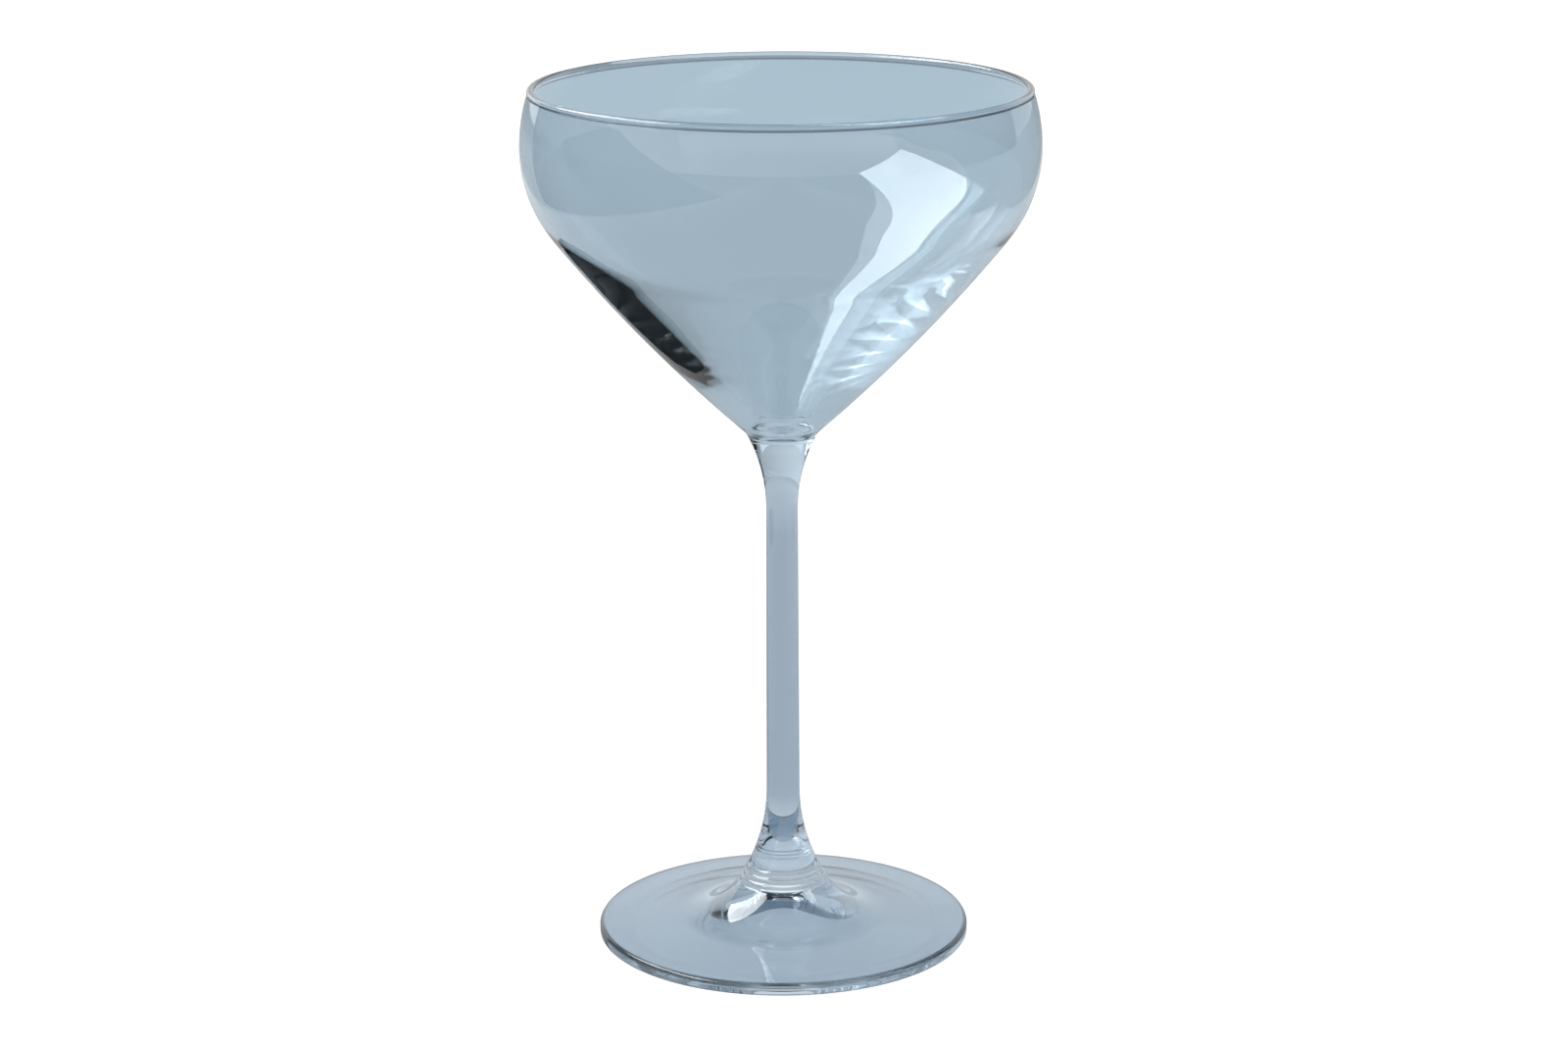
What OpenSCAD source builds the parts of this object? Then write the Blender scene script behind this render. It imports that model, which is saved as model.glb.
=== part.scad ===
// Coupe glass: a blown bowl, a drawn stem and a pressed foot, fused at two flat seams.
// The origin is on the table under the middle of the foot, with Z along the glass's axis.

/* [Overall] */
// Height of the rim's crest above the table
glass_height = 175; // [165:1:190]

/* [Bowl] */
// Greatest outside diameter of the bowl
bowl_d = 102.5; // [96:0.5:112]
// How far the side draws in from the widest ring to the rim
rim_tuck = 2.1; // [1:0.1:4]
// Height of the rim's crest above the widest ring
rim_rise = 11.8; // [9:0.1:16]
// Height of the bowl from its seam on the stem to the rim's crest
bowl_height = 70; // [62:0.5:78]
// Radius of the round shoulder under the widest ring
shoulder_radius = 28.2; // [22:0.2:34]
// Radius of the long, nearly straight flank under the shoulder
flank_radius = 327; // [200:1:600]
// Radius of the flank's inside, straighter than its outside, so that the wall thickens downwards
inner_flank_radius = 420; // [340:5:600]
// Radius of the small hollow where the flank turns down into the stem
neck_radius = 3.5; // [2:0.1:6]
// Wall thickness of the side and the shoulder
side_wall = 1.1; // [0.8:0.05:1.6]
// Wall thickness at the foot of the flank
flank_wall = 4.4; // [3.6:0.1:5]
// Glass between the inside floor and the seam on the stem
floor_wall = 3.1; // [2.5:0.1:4]
// How far the fire-polished rim bead stands proud of each face of the side
bead_proud = 0.2; // [0.1:0.01:0.4]
// Radius of the blend between the bead and the side
bead_blend_radius = 1; // [0.5:0.1:2]

/* [Stem] */
// Diameter where the stem meets the bowl
neck_d = 14; // [11:0.1:17]
// Diameter of the stem at the foot of its upper flare
stem_top_d = 6.4; // [5:0.1:9]
// Diameter of the stem at the head of its lower flare
stem_bottom_d = 6.8; // [5:0.1:9]
// Radius of the upper flare
upper_flare_radius = 33; // [24:0.5:50]
// Radius of the lower flare
lower_flare_radius = 37; // [30:0.5:46]
// Number of fine spin rings above the lower seam
ring_count = 3; // [1:1:4]
// Thickness of a spin ring
ring_d = 1; // [0.6:0.1:1.6]
// How far a spin ring stands proud of the flare
ring_proud = 0.12; // [0.05:0.01:0.25]
// Spacing of the spin rings along the flare
ring_pitch = 1.3; // [1:0.1:2]

/* [Foot] */
// Diameter of the foot
foot_d = 75.9; // [68:0.1:84]
// Thickness of the foot at its edge
edge_height = 2.4; // [1.8:0.1:3.5]
// Rounding of the edge's upper corner
edge_top_radius = 0.9; // [0.4:0.1:1.4]
// Rounding of the edge's lower corner
edge_bottom_radius = 0.35; // [0.2:0.05:0.6]
// Diameter where the foot meets the stem
boss_d = 18.4; // [16:0.1:22]
// Height of the seam between the foot and the stem
boss_height = 10.8; // [10.2:0.1:13]
// Radius of the sweep from the boss to the disc
boss_radius = 16; // [13:0.1:17]
// Width of the flat ring that the glass rests on
rest_width = 6; // [3:0.1:10]
// Rise of the shallow hollow under the foot
hollow_depth = 2.2; // [1.4:0.1:2.6]
// Width that sets how round the domed kick under the stem is
kick_d = 20; // [17:0.1:24]
// Height of the kick's crown above the table
kick_height = 7.5; // [6.5:0.1:8.5]
// Radius of the flare from the kick out to the shallow hollow
kick_lip_radius = 30; // [22:0.5:38]

/* [Hidden] */
arc_steps = 10;
ring_sides = 48;
turn_sides = 96;

// Point where two circles cross, on the left of the way from the first centre to the second
function crossing(c1, r1, c2, r2) =
    let (gap = norm(c2 - c1))
    let (along = (r1 * r1 - r2 * r2 + gap * gap) / (2 * gap))
    let (aside = sqrt(r1 * r1 - along * along))
    let (way = (c2 - c1) / gap)
    c1 + along * way + aside * [-way.y, way.x];
// Point at a distance from one point on the way to another
function toward(from, to, distance) = from + distance * (to - from) / norm(to - from);
// Points of the shorter arc about a centre, after its first point and up to its last
function arc(centre, from, to) =
    let (start = from - centre)
    let (end = to - centre)
    let (turn = atan2(start.x * end.y - start.y * end.x, start * end))
    [for (step = [1 : arc_steps])
        let (angle = turn * step / arc_steps)
        centre + cos(angle) * start + sin(angle) * [-start.y, start.x]];
// Radius of an arc that rises by a height over half of its chord
function cap_radius(half_chord, rise) = (half_chord * half_chord + rise * rise) / (2 * rise);
// Radius of an arc on the axis with a given lowest point, which touches a larger circle from inside
function floor_arc_radius(lowest, centre, radius) =
    let (rise = lowest - centre.y)
    (radius * radius - centre.x * centre.x - rise * rise) / (2 * (radius + rise));
// Slant of a flare at its wide end, away from upright
function flare_slant(wide_d, narrow_d, radius) = acos(1 - (wide_d - narrow_d) / 2 / radius);

// Heights along the axis
bead_radius = side_wall / 2 + bead_proud;
bead_z = glass_height - bead_radius;
widest_z = glass_height - rim_rise;
neck_z = glass_height - bowl_height;
floor_z = neck_z + floor_wall;

// Flares of the stem, which set the slant of its neighbours at the two seams
neck_point = [neck_d / 2, neck_z];
boss_point = [boss_d / 2, boss_height];
neck_slant = flare_slant(neck_d, stem_top_d, upper_flare_radius);
boss_slant = flare_slant(boss_d, stem_bottom_d, lower_flare_radius);
neck_way = [cos(neck_slant), -sin(neck_slant)];
boss_way = [cos(boss_slant), sin(boss_slant)];
upper_flare_centre = neck_point + upper_flare_radius * neck_way;
lower_flare_centre = boss_point + lower_flare_radius * boss_way;

// Outside of the bowl, from the neck up to the widest ring
bowl_r = bowl_d / 2;
widest_point = [bowl_r, widest_z];
shoulder_centre = [bowl_r - shoulder_radius, widest_z];
neck_centre = neck_point + neck_radius * neck_way;
flank_centre = crossing(neck_centre, flank_radius + neck_radius, shoulder_centre, flank_radius - shoulder_radius);
flank_top = toward(flank_centre, shoulder_centre, flank_radius);
flank_bottom = toward(flank_centre, neck_centre, flank_radius);

// Inside of the bowl, from the floor up to the widest ring
inner_widest_point = [bowl_r - side_wall, widest_z];
inner_flank_reach = inner_flank_radius - shoulder_radius + side_wall;
inner_flank_foot = toward(flank_bottom, flank_centre, flank_wall);
inner_flank_centre = crossing(inner_flank_foot, inner_flank_radius, shoulder_centre, inner_flank_reach);
inner_flank_top = toward(inner_flank_centre, shoulder_centre, inner_flank_radius);
floor_radius = floor_arc_radius(floor_z, inner_flank_centre, inner_flank_radius);
floor_centre = [0, floor_z + floor_radius];
inner_flank_bottom = toward(inner_flank_centre, floor_centre, inner_flank_radius);

// Side above the widest ring, and the bead blended into both of its faces
side_radius = cap_radius(rim_rise, rim_tuck);
side_centre = [bowl_r - side_radius, widest_z];
inner_side_radius = side_radius - side_wall;
bead_rise = bead_z - widest_z;
bead_centre = side_centre + [sqrt(pow(side_radius - side_wall / 2, 2) - pow(bead_rise, 2)), bead_rise];
blend_reach = bead_radius + bead_blend_radius;
outer_blend_centre = crossing(bead_centre, blend_reach, side_centre, side_radius + bead_blend_radius);
outer_side_top = toward(side_centre, outer_blend_centre, side_radius);
outer_bead_edge = toward(bead_centre, outer_blend_centre, bead_radius);
inner_blend_centre = crossing(bead_centre, blend_reach, side_centre, inner_side_radius - bead_blend_radius);
inner_side_top = toward(side_centre, inner_blend_centre, inner_side_radius);
inner_bead_edge = toward(bead_centre, inner_blend_centre, bead_radius);
rim_crest = bead_centre + [0, bead_radius];

// Top of the foot, a shallow cone that touches the boss's sweep and the edge's upper corner
foot_r = foot_d / 2;
sweep_centre = boss_point + boss_radius * boss_way;
edge_top_centre = [foot_r - edge_top_radius, edge_height - edge_top_radius];
sweep_from_edge = sweep_centre - edge_top_centre;
cone_slope = 90 - atan2(sweep_from_edge.y, sweep_from_edge.x)
    + acos((boss_radius + edge_top_radius) / norm(sweep_from_edge));
cone_normal = [sin(cone_slope), cos(cone_slope)];
cone_top = sweep_centre - boss_radius * cone_normal;
cone_bottom = edge_top_centre + edge_top_radius * cone_normal;

// Underside of the foot
edge_bottom_centre = [foot_r - edge_bottom_radius, edge_bottom_radius];
rest_outside = [foot_r - edge_bottom_radius, 0];
rest_inside = rest_outside - [rest_width, 0];
hollow_radius = cap_radius(rest_inside.x, hollow_depth);
hollow_centre = [0, hollow_depth - hollow_radius];
kick_radius = cap_radius(kick_d / 2, kick_height);
kick_centre = [0, kick_height - kick_radius];
lip_centre = crossing(kick_centre, kick_radius + kick_lip_radius, hollow_centre, hollow_radius + kick_lip_radius);
lip_outside = toward(hollow_centre, lip_centre, hollow_radius);
lip_inside = toward(kick_centre, lip_centre, kick_radius);

// Blown bowl: up the outside, over the rim bead and down the inside to the floor
module bowl() {
    outside = concat(
        [[0, neck_z], neck_point],
        arc(neck_centre, neck_point, flank_bottom),
        arc(flank_centre, flank_bottom, flank_top),
        arc(shoulder_centre, flank_top, widest_point),
        arc(side_centre, widest_point, outer_side_top));
    rim = concat(
        arc(outer_blend_centre, outer_side_top, outer_bead_edge),
        arc(bead_centre, outer_bead_edge, rim_crest),
        arc(bead_centre, rim_crest, inner_bead_edge),
        arc(inner_blend_centre, inner_bead_edge, inner_side_top));
    inside = concat(
        arc(side_centre, inner_side_top, inner_widest_point),
        arc(shoulder_centre, inner_widest_point, inner_flank_top),
        arc(inner_flank_centre, inner_flank_top, inner_flank_bottom),
        arc(floor_centre, inner_flank_bottom, [0, floor_z]));
    color("lightsteelblue", 0.5) rotate_extrude($fn = turn_sides) polygon(concat(outside, rim, inside));
}

// Fine rings that spinning the hot glass leaves on the lower flare, just above the seam
module spin_rings() {
    sunk_radius = lower_flare_radius + ring_d / 2 - ring_proud;
    for (ring = [0 : ring_count - 1]) {
        climb = ring_d + ring * ring_pitch;
        slant = boss_slant - climb / lower_flare_radius * 180 / PI;
        translate(lower_flare_centre - sunk_radius * [cos(slant), sin(slant)])
            circle(d = ring_d, $fn = ring_sides);
    }
}

// Drawn stem: a slightly tapered rod that flares out to both seams
module stem() {
    lower_point = [stem_bottom_d / 2, lower_flare_centre.y];
    upper_point = [stem_top_d / 2, upper_flare_centre.y];
    outline = concat(
        [[0, boss_height], boss_point],
        arc(lower_flare_centre, boss_point, lower_point),
        [upper_point],
        arc(upper_flare_centre, upper_point, neck_point),
        [[0, neck_z]]);
    color("lightsteelblue", 0.6) rotate_extrude($fn = turn_sides) {
        polygon(outline);
        spin_rings();
    }
}

// Pressed foot: out along the underside, round the edge and up the cone to the boss
module foot() {
    underside = concat(
        [[0, kick_height]],
        arc(kick_centre, [0, kick_height], lip_inside),
        arc(lip_centre, lip_inside, lip_outside),
        arc(hollow_centre, lip_outside, rest_inside),
        [rest_outside]);
    edge = concat(
        arc(edge_bottom_centre, rest_outside, [foot_r, edge_bottom_radius]),
        [[foot_r, edge_top_centre.y]],
        arc(edge_top_centre, [foot_r, edge_top_centre.y], cone_bottom));
    top = concat(
        [cone_top],
        arc(sweep_centre, cone_top, boss_point),
        [[0, boss_height]]);
    color("lightsteelblue", 0.6) rotate_extrude($fn = turn_sides) polygon(concat(underside, edge, top));
}

bowl();
stem();
foot();
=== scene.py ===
"""Coupe glass: a blown bowl, a drawn stem and a pressed foot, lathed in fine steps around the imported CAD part.

The glass is written in millimetres and reaches Blender in metres. The stage is written in metres.
Z is the glass's axis, up from the table.
"""
from math import acos, atan2, cos, pi, radians, sin, sqrt

import bpy
from mathutils import Matrix, Vector


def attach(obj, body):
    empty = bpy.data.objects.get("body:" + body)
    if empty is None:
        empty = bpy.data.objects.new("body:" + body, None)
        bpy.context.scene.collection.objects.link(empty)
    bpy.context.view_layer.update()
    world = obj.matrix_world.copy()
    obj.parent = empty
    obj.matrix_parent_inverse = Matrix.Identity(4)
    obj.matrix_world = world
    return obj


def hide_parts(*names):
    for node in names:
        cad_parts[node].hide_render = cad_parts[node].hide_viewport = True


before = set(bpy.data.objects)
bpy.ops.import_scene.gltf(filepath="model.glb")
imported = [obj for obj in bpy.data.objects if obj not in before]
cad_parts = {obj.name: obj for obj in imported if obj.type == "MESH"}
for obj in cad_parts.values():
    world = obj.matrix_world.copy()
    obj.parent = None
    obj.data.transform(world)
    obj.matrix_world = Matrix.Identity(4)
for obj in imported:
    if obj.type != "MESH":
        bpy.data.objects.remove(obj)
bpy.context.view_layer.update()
MM = 0.001

# Bowl
HEIGHT = 175.0
BOWL_D = 102.5
RIM_TUCK = 2.1
RIM_RISE = 11.8
BOWL_HEIGHT = 70.0
SHOULDER_R = 28.2
FLANK_R = 327.0
INNER_FLANK_R = 420.0
NECK_R = 3.5
SIDE_WALL = 1.1
FLANK_WALL = 4.4
FLOOR_WALL = 3.1
BEAD_PROUD = 0.2
BEAD_BLEND_R = 1.0

# How far on each side the flank's bend turns into the shoulder's, as it does in soft glass
EASE = 7.0

# Faint rings round the flank, measured along it from the neck, and how unevenly they are spaced
RIPPLE_PITCH = 3.8
RIPPLE_DEPTH = 0.0015
RIPPLE_DRIFT = 0.8
RIPPLES_START = 6.0
RIPPLES_END = 44.0

# Stem
NECK_D = 14.0
STEM_TOP_D = 6.4
STEM_BOTTOM_D = 6.8
UPPER_FLARE_R = 33.0
LOWER_FLARE_R = 37.0
RING_COUNT = 3
RING_D = 1.0
RING_PROUD = 0.12
RING_PITCH = 1.3

# Foot
FOOT_D = 75.9
EDGE_HEIGHT = 2.4
EDGE_TOP_R = 0.9
EDGE_BOTTOM_R = 0.35
BOSS_D = 18.4
BOSS_HEIGHT = 10.8
BOSS_R = 16.0
REST_WIDTH = 6.0
HOLLOW_DEPTH = 2.2
KICK_D = 20.0
KICK_HEIGHT = 7.5
KICK_LIP_R = 30.0

# Fineness of the lathed meshes: steps round the axis and along each run of the outlines
TURNS = 192
STEPS = {
    "seam": 4, "neck": 10, "flank": 220, "ease": 40, "shoulder": 32, "side": 16, "bead blend": 8, "half bead": 10,
    "inner flank": 40, "floor": 24, "lower flare": 160, "rod": 24, "upper flare": 40, "kick": 24, "kick lip": 10,
    "hollow": 24, "rest": 6, "low edge": 8, "edge": 3, "high edge": 12, "cone": 24, "boss": 32,
}

# Steps on each side of the rim's crest that carry its dark top line, which is painted shade
TOP_LINE_STEPS = 2

# A point this near to the axis lies on it
ON_AXIS = 1e-6

# Kinds of face, in the order of each piece's finishes
# Edge faces carry the rim's painted highlight and the foot edge's painted shade; dark-line faces carry painted shade
OUTSIDE, INSIDE, SEAM, EDGE, PAINTED_DARK_LINE = 0, 1, 2, 3, 4


def point(radius, height):
    return Vector((radius, height))


def crossing(first, first_r, second, second_r):
    """Where two circles cross, on the left of the way from the first centre to the second."""
    way = second - first
    gap = way.length
    way = way / gap
    along = (first_r**2 - second_r**2 + gap**2) / (2 * gap)
    aside = sqrt(first_r**2 - along**2)
    return first + along * way + aside * point(-way.y, way.x)


def toward(start, end, distance):
    return start + distance * (end - start).normalized()


def arc(centre, start, end, steps):
    """Points of the shorter arc about a centre, after its first point and up to its last."""
    a, b = start - centre, end - centre
    turn = atan2(a.x * b.y - a.y * b.x, a.dot(b))
    across = point(-a.y, a.x)
    return [centre + cos(turn * k / steps) * a + sin(turn * k / steps) * across for k in range(1, steps + 1)]


def along_arc(centre, spot, distance):
    """A point moved along its arc about a centre, anticlockwise."""
    a = spot - centre
    turn = distance / a.length
    return centre + cos(turn) * a + sin(turn) * point(-a.y, a.x)


def eased(first, start, second, end, way, steps):
    """Points that lead from an arc about the first centre to one about the second, with no sudden change of bend.

    Way is 1 for arcs that run anticlockwise and -1 for clockwise ones.
    """
    reach = (end - start).length
    start_way, end_way = (
        way * reach * point(centre.y - spot.y, spot.x - centre.x).normalized()
        for centre, spot in ((first, start), (second, end))
    )
    spots = []
    for k in range(1, steps + 1):
        t = k / steps
        spots.append(
            (1 + 2 * t) * (1 - t) ** 2 * start
            + t * (1 - t) ** 2 * start_way
            + t**2 * (3 - 2 * t) * end
            - t**2 * (1 - t) * end_way
        )
    return spots


def straight(start, end, steps):
    return [start + (end - start) * k / steps for k in range(1, steps + 1)]


def cap_radius(half_chord, rise):
    return (half_chord**2 + rise**2) / (2 * rise)


def joined(start, runs):
    """An outline from a start through runs of points, with the kind of each face along it."""
    spots, kinds = [start], []
    for kind, run in runs:
        spots += run
        kinds += [kind] * len(run)
    return spots, kinds


# Points and directions that the three pieces share
neck_z = HEIGHT - BOWL_HEIGHT
neck_middle = point(0, neck_z)
neck_point = point(NECK_D / 2, neck_z)
boss_middle = point(0, BOSS_HEIGHT)
boss_point = point(BOSS_D / 2, BOSS_HEIGHT)
neck_slant = acos(1 - (NECK_D - STEM_TOP_D) / 2 / UPPER_FLARE_R)
boss_slant = acos(1 - (BOSS_D - STEM_BOTTOM_D) / 2 / LOWER_FLARE_R)
neck_way = point(cos(neck_slant), -sin(neck_slant))
boss_way = point(cos(boss_slant), sin(boss_slant))


def rippled(centre, spots, start):
    """Gives the flank the faint rings that blown glass takes while it is turned in its mould."""
    waved = []
    for spot in spots:
        along = (spot - start).length
        reach = min(1.0, max(0.0, (along - RIPPLES_START) / (RIPPLES_END - RIPPLES_START)))
        depth = RIPPLE_DEPTH * sin(pi * reach) ** 2
        wave = sin(2 * pi * along / RIPPLE_PITCH + RIPPLE_DRIFT * sin(along / RIPPLE_PITCH))
        waved.append(spot + depth * wave * (spot - centre).normalized())
    return waved


def bowl_outline():
    """The bowl from the seam's middle up the outside, over the bead and down the inside."""
    bead_r = SIDE_WALL / 2 + BEAD_PROUD
    bead_z = HEIGHT - bead_r
    widest_z = HEIGHT - RIM_RISE
    floor_z = neck_z + FLOOR_WALL
    bowl_r = BOWL_D / 2
    widest = point(bowl_r, widest_z)
    shoulder = point(bowl_r - SHOULDER_R, widest_z)
    neck = neck_point + NECK_R * neck_way
    flank = crossing(neck, FLANK_R + NECK_R, shoulder, FLANK_R - SHOULDER_R)
    flank_top = toward(flank, shoulder, FLANK_R)
    flank_bottom = toward(flank, neck, FLANK_R)

    inner_widest = point(bowl_r - SIDE_WALL, widest_z)
    flank_foot = toward(flank_bottom, flank, FLANK_WALL)
    inner_flank = crossing(flank_foot, INNER_FLANK_R, shoulder, INNER_FLANK_R - SHOULDER_R + SIDE_WALL)
    inner_flank_top = toward(inner_flank, shoulder, INNER_FLANK_R)
    rise = floor_z - inner_flank.y
    floor_r = (INNER_FLANK_R**2 - inner_flank.x**2 - rise**2) / (2 * (INNER_FLANK_R + rise))
    floor = point(0, floor_z + floor_r)
    inner_flank_bottom = toward(inner_flank, floor, INNER_FLANK_R)

    side_r = cap_radius(RIM_RISE, RIM_TUCK)
    side = point(bowl_r - side_r, widest_z)
    inner_side_r = side_r - SIDE_WALL
    bead_rise = bead_z - widest_z
    bead = side + point(sqrt((side_r - SIDE_WALL / 2) ** 2 - bead_rise**2), bead_rise)
    reach = bead_r + BEAD_BLEND_R
    outer_blend = crossing(bead, reach, side, side_r + BEAD_BLEND_R)
    outer_side_top = toward(side, outer_blend, side_r)
    outer_bead_edge = toward(bead, outer_blend, bead_r)
    inner_blend = crossing(bead, reach, side, inner_side_r - BEAD_BLEND_R)
    inner_side_top = toward(side, inner_blend, inner_side_r)
    inner_bead_edge = toward(bead, inner_blend, bead_r)
    crest = bead + point(0, bead_r)

    flank_end = along_arc(flank, flank_top, -EASE)
    shoulder_start = along_arc(shoulder, flank_top, EASE)
    inner_shoulder_end = along_arc(shoulder, inner_flank_top, EASE)
    inner_flank_start = along_arc(inner_flank, inner_flank_top, -EASE)

    outside = (
        arc(neck, neck_point, flank_bottom, STEPS["neck"])
        + rippled(flank, arc(flank, flank_bottom, flank_end, STEPS["flank"]), flank_bottom)
        + eased(flank, flank_end, shoulder, shoulder_start, 1, STEPS["ease"])
        + arc(shoulder, shoulder_start, widest, STEPS["shoulder"])
        + arc(side, widest, outer_side_top, STEPS["side"])
    )
    half_bead = STEPS["half bead"]
    rim = arc(bead, outer_bead_edge, crest, half_bead) + arc(bead, crest, inner_bead_edge, half_bead)
    line_start, line_end = half_bead - TOP_LINE_STEPS, half_bead + TOP_LINE_STEPS
    inside = (
        arc(side, inner_side_top, inner_widest, STEPS["side"])
        + arc(shoulder, inner_widest, inner_shoulder_end, STEPS["shoulder"])
        + eased(shoulder, inner_shoulder_end, inner_flank, inner_flank_start, -1, STEPS["ease"])
        + arc(inner_flank, inner_flank_start, inner_flank_bottom, STEPS["inner flank"])
        + arc(floor, inner_flank_bottom, point(0, floor_z), STEPS["floor"])
    )
    return joined(neck_middle, (
        (SEAM, straight(neck_middle, neck_point, STEPS["seam"])),
        (OUTSIDE, outside),
        (PAINTED_DARK_LINE, arc(outer_blend, outer_side_top, outer_bead_edge, STEPS["bead blend"])),
        (EDGE, rim[:line_start]),
        (PAINTED_DARK_LINE, rim[line_start:line_end]),
        (EDGE, rim[line_end:]),
        (PAINTED_DARK_LINE, arc(inner_blend, inner_bead_edge, inner_side_top, STEPS["bead blend"])),
        (INSIDE, inside),
    ))


def stem_outline():
    """The stem from the lower seam's middle out and up to the upper seam's middle."""
    upper = neck_point + UPPER_FLARE_R * neck_way
    lower = boss_point + LOWER_FLARE_R * boss_way
    lower_end = point(STEM_BOTTOM_D / 2, lower.y)
    upper_end = point(STEM_TOP_D / 2, upper.y)
    ringed_flare = []
    for spot in arc(lower, boss_point, lower_end, STEPS["lower flare"]):
        way = (spot - lower).normalized()
        along = (boss_slant - atan2(-way.y, -way.x)) * LOWER_FLARE_R
        proud = 0.0
        for ring in range(RING_COUNT):
            off = along - (RING_D + ring * RING_PITCH)
            proud += RING_PROUD * max(0.0, 1 - (off / (RING_D / 2)) ** 2)
        ringed_flare.append(spot - way * proud)
    rod = straight(lower_end, upper_end, STEPS["rod"])
    upper_flare = arc(upper, upper_end, neck_point, STEPS["upper flare"])
    return joined(boss_middle, (
        (SEAM, straight(boss_middle, boss_point, STEPS["seam"])),
        (OUTSIDE, ringed_flare + rod + upper_flare),
        (SEAM, straight(neck_point, neck_middle, STEPS["seam"])),
    ))


def foot_outline():
    """The foot from the kick's crown out along the underside, round the edge and up to the seam's middle."""
    foot_r = FOOT_D / 2
    sweep = boss_point + BOSS_R * boss_way
    edge_top = point(foot_r - EDGE_TOP_R, EDGE_HEIGHT - EDGE_TOP_R)
    away = sweep - edge_top
    slope = pi / 2 - atan2(away.y, away.x) + acos((BOSS_R + EDGE_TOP_R) / away.length)
    normal = point(sin(slope), cos(slope))
    cone_top = sweep - BOSS_R * normal
    cone_bottom = edge_top + EDGE_TOP_R * normal

    edge_bottom = point(foot_r - EDGE_BOTTOM_R, EDGE_BOTTOM_R)
    side_bottom = point(foot_r, EDGE_BOTTOM_R)
    side_top = point(foot_r, edge_top.y)
    rest_outside = point(foot_r - EDGE_BOTTOM_R, 0)
    rest_inside = rest_outside - point(REST_WIDTH, 0)
    hollow_r = cap_radius(rest_inside.x, HOLLOW_DEPTH)
    hollow = point(0, HOLLOW_DEPTH - hollow_r)
    kick_r = cap_radius(KICK_D / 2, KICK_HEIGHT)
    kick = point(0, KICK_HEIGHT - kick_r)
    lip = crossing(kick, kick_r + KICK_LIP_R, hollow, hollow_r + KICK_LIP_R)
    lip_outside = toward(hollow, lip, hollow_r)
    lip_inside = toward(kick, lip, kick_r)

    crown = point(0, KICK_HEIGHT)
    underside = (
        arc(kick, crown, lip_inside, STEPS["kick"])
        + arc(lip, lip_inside, lip_outside, STEPS["kick lip"])
        + arc(hollow, lip_outside, rest_inside, STEPS["hollow"])
        + straight(rest_inside, rest_outside, STEPS["rest"])
    )
    top = straight(cone_bottom, cone_top, STEPS["cone"]) + arc(sweep, cone_top, boss_point, STEPS["boss"])
    return joined(crown, (
        (OUTSIDE, underside),
        (EDGE, arc(edge_bottom, rest_outside, side_bottom, STEPS["low edge"])),
        (OUTSIDE, straight(side_bottom, side_top, STEPS["edge"])),
        (EDGE, arc(edge_top, side_top, cone_bottom, STEPS["high edge"])),
        (OUTSIDE, top),
        (SEAM, straight(boss_point, boss_middle, STEPS["seam"])),
    ))


def lathe(name, outline, kinds, finishes):
    """Turns an outline whose two ends lie on the axis into a closed mesh."""
    verts, rings = [], []
    for spot in outline:
        if spot.x < ON_AXIS:
            rings.append([len(verts)] * TURNS)
            verts.append((0, 0, spot.y * MM))
            continue
        rings.append(list(range(len(verts), len(verts) + TURNS)))
        for k in range(TURNS):
            angle = 2 * pi * k / TURNS
            verts.append((spot.x * MM * cos(angle), spot.x * MM * sin(angle), spot.y * MM))
    faces, slots = [], []
    for low, high, kind in zip(rings, rings[1:], kinds):
        for k in range(TURNS):
            j = (k + 1) % TURNS
            corners = [low[k], low[j], high[j], high[k]]
            faces.append(list(dict.fromkeys(corners)))
            slots.append(kind)
    mesh = bpy.data.meshes.new(name)
    mesh.from_pydata(verts, [], faces)
    for finish in finishes:
        mesh.materials.append(finish)
    mesh.polygons.foreach_set("material_index", slots)
    mesh.polygons.foreach_set("use_smooth", [kind != SEAM for kind in slots])
    mesh.update()
    piece = bpy.data.objects.new(name, mesh)
    bpy.context.scene.collection.objects.link(piece)
    return piece


def linear(code):
    """An sRGB hex colour as linear RGBA."""
    values = [int(code[k : k + 2], 16) / 255 for k in (0, 2, 4)]
    return tuple(v / 12.92 if v <= 0.04045 else ((v + 0.055) / 1.055) ** 2.4 for v in values) + (1.0,)


def add(tree, kind, settings=None, **inputs):
    """Adds a node: settings are its own properties, and each input takes a value or an output socket to link."""
    node = tree.nodes.new(kind)
    for key, value in (settings or {}).items():
        setattr(node, key, value)
    for key, value in inputs.items():
        socket = node.inputs[int(key[1:])] if key[1:].isdigit() else node.inputs[key.replace("_", " ")]
        if isinstance(value, bpy.types.NodeSocket):
            tree.links.new(value, socket)
        else:
            socket.default_value = value
    return node


def grey(level):
    return (level, level, level, 1)


def fade(tree, value, span, stops):
    """Colours at places along a value from 0 to a span, which fade into each other."""
    share = add(tree, "ShaderNodeMath", {"operation": "DIVIDE"}, i0=value, i1=span)
    node = add(tree, "ShaderNodeValToRGB", Fac=share.outputs[0])
    elements = node.color_ramp.elements
    for element, (place, colour) in zip(elements, (stops[0], stops[-1])):
        element.position, element.color = place / span, colour
    for place, colour in stops[1:-1]:
        elements.new(place / span).color = colour
    return node.outputs[0]


def new_finish(name):
    finish = bpy.data.materials.new(name)
    finish.use_nodes = True
    finish.node_tree.nodes.clear()
    return finish, finish.node_tree
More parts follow.
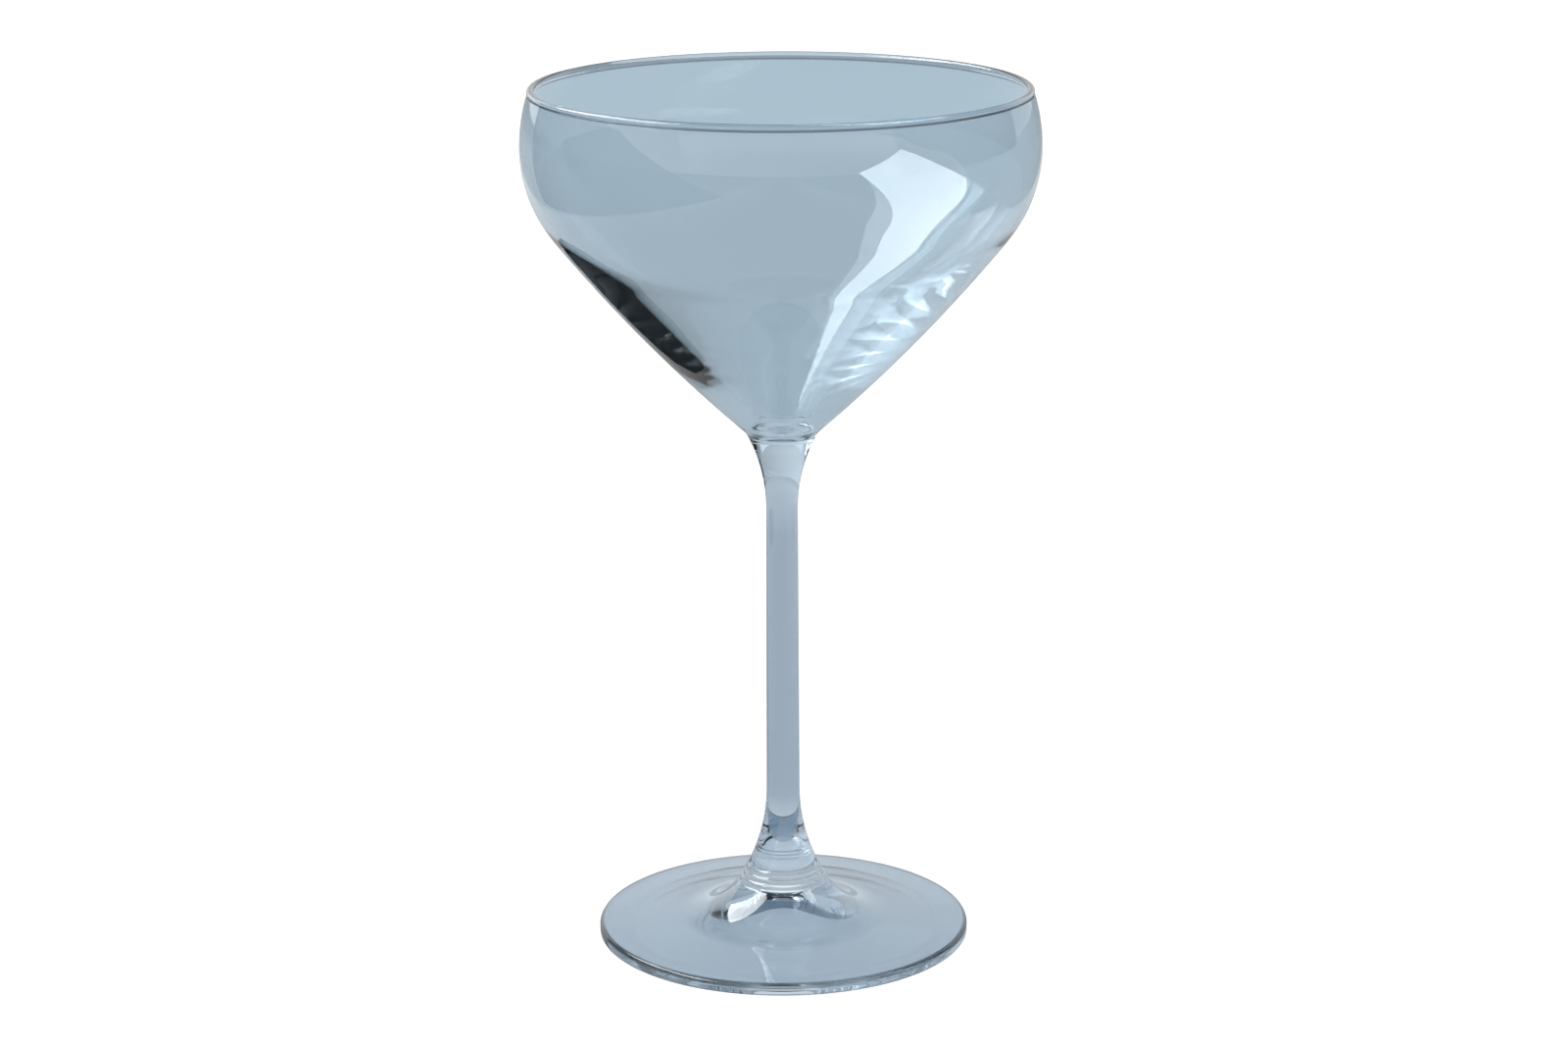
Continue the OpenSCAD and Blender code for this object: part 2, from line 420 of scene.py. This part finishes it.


# Clear soda-lime glass. Its blue-grey is painted in: the backdrop seen through it, deeper as painted shade where light
# bends away
BOWL_PAINTED_BACKDROP = "a6bccb"
MOUTH_PAINTED_BACKDROP = "b2c7d4"
# Painted highlight: the rim's paler tone is its thin pale line
RIM_PAINTED_HIGHLIGHT = "c0d2de"
# Painted shade: the dark lines beside the rim's bead and along its crest
RIM_PAINTED_DARK_LINES = "6a7984"
# Painted tone by height in millimetres: light in both flares as painted light, dark along the rod as painted shade
STEM_PAINTED_BACKDROP_AND_SHADE = ((12, "dce6ee"), (30, "9bacbc"), (84, "9bacbc"), (104, "bfd1de"))
FOOT_PAINTED_BACKDROP = "a0b2c1"
# Painted shade: the dark line round the foot's edge
FOOT_EDGE_PAINTED_DARK_LINE = "56646e"
MARK_TINT = "66727c"
SHADOW_TINT = "f3f6f8"
MARK_ROUGHNESS = 0.4
GLASS_IOR = 1.5


def lets_lamps_through(tree, shader):
    """Ends a glass finish: lamps shine through it, so the table under the glass isn't dark."""
    path = add(tree, "ShaderNodeLightPath")
    clear = add(tree, "ShaderNodeBsdfTransparent", Color=linear(SHADOW_TINT))
    mix = add(tree, "ShaderNodeMixShader", i0=path.outputs["Is Shadow Ray"], i1=shader.outputs[0],
              i2=clear.outputs[0])
    add(tree, "ShaderNodeOutputMaterial", Surface=mix.outputs[0])


def marks(tree, spacing, length, width, share, turn=0.0):
    """Where a few fine marks lie: 1 on the mark. Lengths in millimetres, share of the places that have one.

    Real specks and scratches are a few hundredths of a millimetre wide, and these are drawn wide enough to show.
    """
    place = add(tree, "ShaderNodeTexCoord")
    near = length / 2 / spacing
    narrow = length / width
    scale = (1 / (spacing * MM), narrow / (spacing * MM), narrow / (spacing * MM))
    spread = add(tree, "ShaderNodeMapping", Vector=place.outputs["Object"], Rotation=(0, 0, radians(turn)),
                 Scale=scale)
    cells = add(tree, "ShaderNodeTexVoronoi", Vector=spread.outputs[0], Scale=1.0)
    on_mark = add(tree, "ShaderNodeMath", {"operation": "LESS_THAN"}, i0=cells.outputs["Distance"], i1=near)
    chance = add(tree, "ShaderNodeSeparateColor", Color=cells.outputs["Color"])
    chosen = add(tree, "ShaderNodeMath", {"operation": "LESS_THAN"}, i0=chance.outputs[0], i1=share)
    both = add(tree, "ShaderNodeMath", {"operation": "MULTIPLY"}, i0=on_mark.outputs[0], i1=chosen.outputs[0])
    return both.outputs[0]


def waves(tree, size, depth):
    """The gentle unevenness of fire-polished glass, as a normal. Size along x, y and z and depth in millimetres."""
    place = add(tree, "ShaderNodeTexCoord")
    spread = add(tree, "ShaderNodeMapping", Vector=place.outputs["Object"], Scale=[1 / (v * MM) for v in size])
    noise = add(tree, "ShaderNodeTexNoise", Vector=spread.outputs[0], Scale=1.0, Detail=1.0)
    bump = add(tree, "ShaderNodeBump", Strength=1.0, Distance=depth * MM, Height=noise.outputs["Fac"])
    return bump.outputs[0]


def glass(tree, colour, mark, normal):
    """Clear glass in a painted colour, whose few marks are dull and darker."""
    marked = add(tree, "ShaderNodeMix", {"data_type": "RGBA"}, i0=mark, i6=colour, i7=linear(MARK_TINT))
    dull = add(tree, "ShaderNodeMath", {"operation": "MULTIPLY"}, i0=mark, i1=MARK_ROUGHNESS)
    shader = add(tree, "ShaderNodeBsdfPrincipled", Base_Color=marked.outputs[2], Roughness=dull.outputs[0],
                 IOR=GLASS_IOR, Transmission_Weight=1.0, Normal=normal)
    lets_lamps_through(tree, shader)


def bowl_outside():
    """Blown glass, smooth from the fire: sharp long highlights on a clear wall, with a few specks of dust. The wall's
    blue-grey is a painted backdrop tone.
    """
    finish, tree = new_finish("soda-lime glass, blown, outside")
    specks = marks(tree, spacing=14, length=0.3, width=0.3, share=0.2)
    glass(tree, linear(BOWL_PAINTED_BACKDROP), specks, waves(tree, size=(16, 16, 16), depth=0.0015))
    return finish


def bowl_inside():
    """The same wall from within, even calmer, so the mouth looks like one clear sheet.

    Its painted backdrop tone goes only where the eye looks straight in, as the outside already paints it on what is
    seen through two walls.
    """
    finish, tree = new_finish("soda-lime glass, blown, inside")
    # Painted backdrop tone for camera rays, white for every other ray
    path = add(tree, "ShaderNodeLightPath")
    colour = add(tree, "ShaderNodeMix", {"data_type": "RGBA"}, i0=path.outputs["Is Camera Ray"],
                 i6=grey(1), i7=linear(MOUTH_PAINTED_BACKDROP))
    specks = marks(tree, spacing=16, length=0.3, width=0.3, share=0.15)
    glass(tree, colour.outputs[2], specks, waves(tree, size=(20, 20, 20), depth=0.001))
    return finish


def bowl_rim_painted_highlight():
    """A rim melted round in the fire, with a painted highlight: a thin pale line all the way round."""
    finish, tree = new_finish("soda-lime glass, fire-polished rim with painted highlight")
    specks = marks(tree, spacing=14, length=0.3, width=0.3, share=0.1)
    glass(tree, linear(RIM_PAINTED_HIGHLIGHT), specks, waves(tree, size=(12, 12, 12), depth=0.004))
    return finish


def rim_painted_dark_lines():
    """The hollows beside the bead and its top line, where light bends away: the dark lines along the rim, as painted
    shade.
    """
    finish, tree = new_finish("soda-lime glass, painted dark lines along the rim's bead")
    glass(tree, linear(RIM_PAINTED_DARK_LINES), 0.0, waves(tree, size=(12, 12, 12), depth=0.004))
    return finish


def stem_outside():
    """Drawn glass: faint waves along its length, with a painted tone by height: painted light in both flares, painted
    shade along the rod.
    """
    finish, tree = new_finish("soda-lime glass, drawn stem")
    place = add(tree, "ShaderNodeTexCoord")
    height = add(tree, "ShaderNodeSeparateXYZ", Vector=place.outputs["Object"])
    # The painted tone by height, lighter in the flares and darker along the rod
    stops = [(z * MM, linear(painted_tone)) for z, painted_tone in STEM_PAINTED_BACKDROP_AND_SHADE]
    colour = fade(tree, height.outputs["Z"], HEIGHT * MM, stops)
    specks = marks(tree, spacing=10, length=0.3, width=0.3, share=0.2)
    glass(tree, colour, specks, waves(tree, size=(4, 4, 40), depth=0.004))
    return finish


def foot_outside():
    """Pressed glass: a clear, slightly uneven disc with a few fine scratches from use. Its blue-grey is a painted
    backdrop tone.
    """
    finish, tree = new_finish("soda-lime glass, pressed foot")
    long_ones = marks(tree, spacing=16, length=3.0, width=0.16, share=0.004, turn=35)
    short_ones = marks(tree, spacing=16, length=2.2, width=0.16, share=0.004, turn=-20)
    scratches = add(tree, "ShaderNodeMath", {"operation": "MAXIMUM"}, i0=long_ones, i1=short_ones)
    glass(tree, linear(FOOT_PAINTED_BACKDROP), scratches.outputs[0], waves(tree, size=(14, 14, 14), depth=0.006))
    return finish


def foot_edge_painted_dark_line():
    """The foot's rounded edge, where light bends away: the dark line that outlines the disc, as painted shade."""
    finish, tree = new_finish("soda-lime glass, fire-polished foot edge")
    glass(tree, linear(FOOT_EDGE_PAINTED_DARK_LINE), 0.0, waves(tree, size=(14, 14, 14), depth=0.004))
    return finish


def melted_seam():
    """The faces where two pieces are melted together, which light doesn't notice."""
    finish, tree = new_finish("soda-lime glass, melted seam")
    clear = add(tree, "ShaderNodeBsdfTransparent", Color=grey(1))
    add(tree, "ShaderNodeOutputMaterial", Surface=clear.outputs[0])
    return finish


seam_finish = melted_seam()
stem_finish, foot_finish = stem_outside(), foot_outside()
for name, outline, finishes in (
    ("bowl", bowl_outline, [bowl_outside(), bowl_inside(), seam_finish, bowl_rim_painted_highlight(), rim_painted_dark_lines()]),
    ("stem", stem_outline, [stem_finish, stem_finish, seam_finish]),
    ("foot", foot_outline, [foot_finish, foot_finish, seam_finish, foot_edge_painted_dark_line()]),
):
    piece = lathe("glass_" + name, *outline(), finishes)
    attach(piece, "root")
    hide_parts(name)

# Camera at the photograph's viewing angle, fitted to the rim's and the foot's ellipses
CAMERA_PLACE = (0.00038, -0.71983, 0.28010)
CAMERA_DOWN = 15.0475
CAMERA_ROLL = -0.1935
camera = bpy.data.objects.new("camera", bpy.data.cameras.new("camera"))
camera.data.sensor_width = 36.0
camera.data.lens = 84.97
camera.data.clip_end = 50.0
camera.matrix_world = (
    Matrix.Translation(CAMERA_PLACE)
    @ Matrix.Rotation(radians(90 - CAMERA_DOWN), 4, "X")
    @ Matrix.Rotation(radians(CAMERA_ROLL), 4, "Z")
)
bpy.context.scene.collection.objects.link(camera)
bpy.context.scene.camera = camera


def flat_sheet(name, corners, finish):
    mesh = bpy.data.meshes.new(name)
    mesh.from_pydata(corners, [], [tuple(range(len(corners)))])
    mesh.materials.append(finish)
    sheet = bpy.data.objects.new(name, mesh)
    bpy.context.scene.collection.objects.link(sheet)
    return sheet


def matt(tree, shade, glow):
    """Matt paper or cloth, which has no gloss and may glow."""
    paper = add(tree, "ShaderNodeBsdfDiffuse", Color=grey(shade))
    light = add(tree, "ShaderNodeEmission", Color=grey(1), Strength=glow)
    both = add(tree, "ShaderNodeAddShader", i0=paper.outputs[0], i1=light.outputs[0])
    add(tree, "ShaderNodeOutputMaterial", Surface=both.outputs[0])


# Floor, a hair under the foot, as the real glass has air under it
FLOOR_SIZE = 12.0
FLOOR_GAP = 0.05
FLOOR_SHADE = 0.3

# How brightly the floor shows to the eye and through the glass, by distance from the glass's axis, and mirrored in the
# glass, by distance to either side. It is dimmer under the foot, which leaves the foot its soft shadow
SEEN_GLOW = ((0.02, 0.82), (0.4, 1.0))
THROUGH_GLOW = ((0.6, 0.73), (1.2, 0.8))
MIRRORED_GLOW = ((0.08, 0.2), (0.27, 0.55), (0.295, 0.55), (0.32, 0.2))
FLOOR_SPAN = 2.0

finish, tree = new_finish("pale paper sweep")
path = add(tree, "ShaderNodeLightPath")
spot = add(tree, "ShaderNodeNewGeometry")
distance = add(tree, "ShaderNodeVectorMath", {"operation": "LENGTH"}, i0=spot.outputs["Position"])
across = add(tree, "ShaderNodeSeparateXYZ", Vector=spot.outputs["Position"])
aside = add(tree, "ShaderNodeMath", {"operation": "ABSOLUTE"}, i0=across.outputs["X"])
glow = 0.0
for ray, away, levels in (
    ("Is Camera Ray", distance.outputs["Value"], SEEN_GLOW),
    ("Is Transmission Ray", distance.outputs["Value"], THROUGH_GLOW),
    ("Is Reflection Ray", aside.outputs[0], MIRRORED_GLOW),
):
    level = fade(tree, away, FLOOR_SPAN, [(place, grey(light)) for place, light in levels])
    part = add(tree, "ShaderNodeMath", {"operation": "MULTIPLY"}, i0=path.outputs[ray], i1=level)
    glow = add(tree, "ShaderNodeMath", {"operation": "MAXIMUM"}, i0=glow, i1=part.outputs[0]).outputs[0]
matt(tree, FLOOR_SHADE, glow)
half = FLOOR_SIZE / 2
floor_corners = [(x, y, -FLOOR_GAP * MM) for x, y in ((-half, -half), (half, -half), (half, half), (-half, half))]
floor = flat_sheet("floor", floor_corners, finish)


def card(name, corners, shade, mirrored=True, through=True, glow=0.0):
    """A card or lit cloth on the stage, which only the glass sees, mirrored in it or through it."""
    finish, tree = new_finish(name)
    matt(tree, shade, glow)
    piece = flat_sheet(name, corners, finish)
    piece.visible_camera = False
    piece.visible_diffuse = False
    piece.visible_shadow = False
    piece.visible_glossy = mirrored
    piece.visible_transmission = through


def standing_card(name, azimuth, half_angle, distance, low, high, shade):
    """An upright card. Azimuth 0 is towards the camera, and grows to the right."""
    (x0, y0), (x1, y1) = (
        (sin(radians(turn)) * distance, -cos(radians(turn)) * distance)
        for turn in (azimuth - half_angle, azimuth + half_angle)
    )
    card(name, [(x0, y0, low), (x1, y1, low), (x1, y1, high), (x0, y0, high)], shade)


def softbox(name, azimuth, elevation, distance, width, height, radiance, mirrored, seen):
    """A rectangular lamp that faces the bowl, with its cloth as the glass mirrors it and as it shows through it."""
    a, e = radians(azimuth), radians(elevation)
    way = Vector((sin(a) * cos(e), -cos(a) * cos(e), sin(e)))
    turn = way.to_track_quat("Z", "Y")
    lamp = bpy.data.objects.new(name, bpy.data.lights.new(name, "AREA"))
    lamp.data.shape = "RECTANGLE"
    lamp.data.size = width
    lamp.data.size_y = height
    lamp.data.energy = radiance * pi * width * height
    lamp.location = BOWL_MIDDLE + way * distance
    lamp.rotation_euler = turn.to_euler()
    lamp.visible_camera = False
    lamp.visible_glossy = False
    lamp.visible_transmission = False
    bpy.context.scene.collection.objects.link(lamp)
    corners = []
    for x, y in ((-1, -1), (1, -1), (1, 1), (-1, 1)):
        corners.append(lamp.location + turn @ Vector((x * width / 2, y * height / 2, 0)))
    card(name + " cloth, mirrored", corners, 0.0, through=False, glow=mirrored)
    card(name + " cloth, seen through the glass", corners, 0.0, mirrored=False, glow=seen)


BOWL_MIDDLE = Vector((0, 0, 0.14))

# The softbox gives the large highlight on the right of the bowl, and the bars beside it
softbox("left softbox", azimuth=-95, elevation=40, distance=1.6, width=2.0, height=0.92, radiance=5.0,
        mirrored=10.0, seen=4.5)

# The right flag gives the dark streak on the left flank, which the thick wall brings round from the right
standing_card("right flag", azimuth=87, half_angle=36, distance=1.1, low=0.1, high=1.5, shade=0.032)

# The back cloth lights the foot from behind and its front edge
BACK_CLOTH = ((-0.86, 1.23, 0.55), (0.86, 1.23, 0.55), (0.86, 1.23, 1.63), (-0.86, 1.23, 1.63))
card("back cloth", BACK_CLOTH, 0.0, mirrored=False, glow=1.2)

# The left card darkens the left of the bowl above the pale crescent
LEFT_CARD = ((-0.26, -0.6, 0.0), (-0.33, 0.3, 0.0), (-0.33, 0.3, 0.25), (-0.3, -0.1, 0.25))
card("left card", LEFT_CARD, 0.02, through=False)

# A dark shape on the floor, which the left flank mirrors over the streak, so that the streak is black
MIRRORED_FLAG = ((-0.07, 0.04), (-0.086, 0.13), (-0.095, 0.2), (-0.11, 0.28), (-0.135, 0.35), (-0.17, 0.32),
                 (-0.19, 0.25), (-0.18, 0.17), (-0.165, 0.13), (-0.12, 0.06), (-0.09, 0.04))
MIRRORED_FLAG_Z = 0.001
card("mirrored flag", [(x, y, MIRRORED_FLAG_Z) for x, y in MIRRORED_FLAG], 0.01, through=False)

# Studio round the stage: white to the eye, and to the glass bright low down, dark overhead and brighter on the left.
# Each step is a height in degrees and its light
SKY = ((0, 1.0), (10, 0.9), (15, 0.9), (22, 0.8), (30, 0.4), (42, 0.06), (90, 0.02))
SKY_LEFT, SKY_RIGHT = 1.4, 0.6
world = bpy.data.worlds.new("studio")
bpy.context.scene.world = world
world.use_nodes = True
tree = world.node_tree
tree.nodes.clear()
path = add(tree, "ShaderNodeLightPath")
way = add(tree, "ShaderNodeTexCoord")
aim = add(tree, "ShaderNodeSeparateXYZ", Vector=way.outputs["Generated"])
sky = fade(tree, aim.outputs["Z"], 1.0, [(sin(radians(height)), grey(light)) for height, light in SKY])
colour = add(tree, "ShaderNodeMix", {"data_type": "RGBA"}, i0=path.outputs["Is Camera Ray"], i6=sky, i7=grey(1))
slant = add(tree, "ShaderNodeMapRange", Value=aim.outputs["X"], From_Min=-1.0, From_Max=1.0,
            To_Min=SKY_LEFT, To_Max=SKY_RIGHT)
strength = add(tree, "ShaderNodeMix", {"data_type": "FLOAT"}, i0=path.outputs["Is Camera Ray"],
               i2=slant.outputs[0], i3=1.0)
light = add(tree, "ShaderNodeBackground", Color=colour.outputs[2], Strength=strength.outputs[0])
add(tree, "ShaderNodeOutputWorld", Surface=light.outputs[0])

# Thick glass turns light round many times before it lets it out
GLASS_BOUNCES = 40
for kind in ("max_bounces", "transmission_bounces", "glossy_bounces", "transparent_max_bounces"):
    setattr(bpy.context.scene.cycles, kind, GLASS_BOUNCES)
bpy.context.scene.view_settings.view_transform = "Standard"
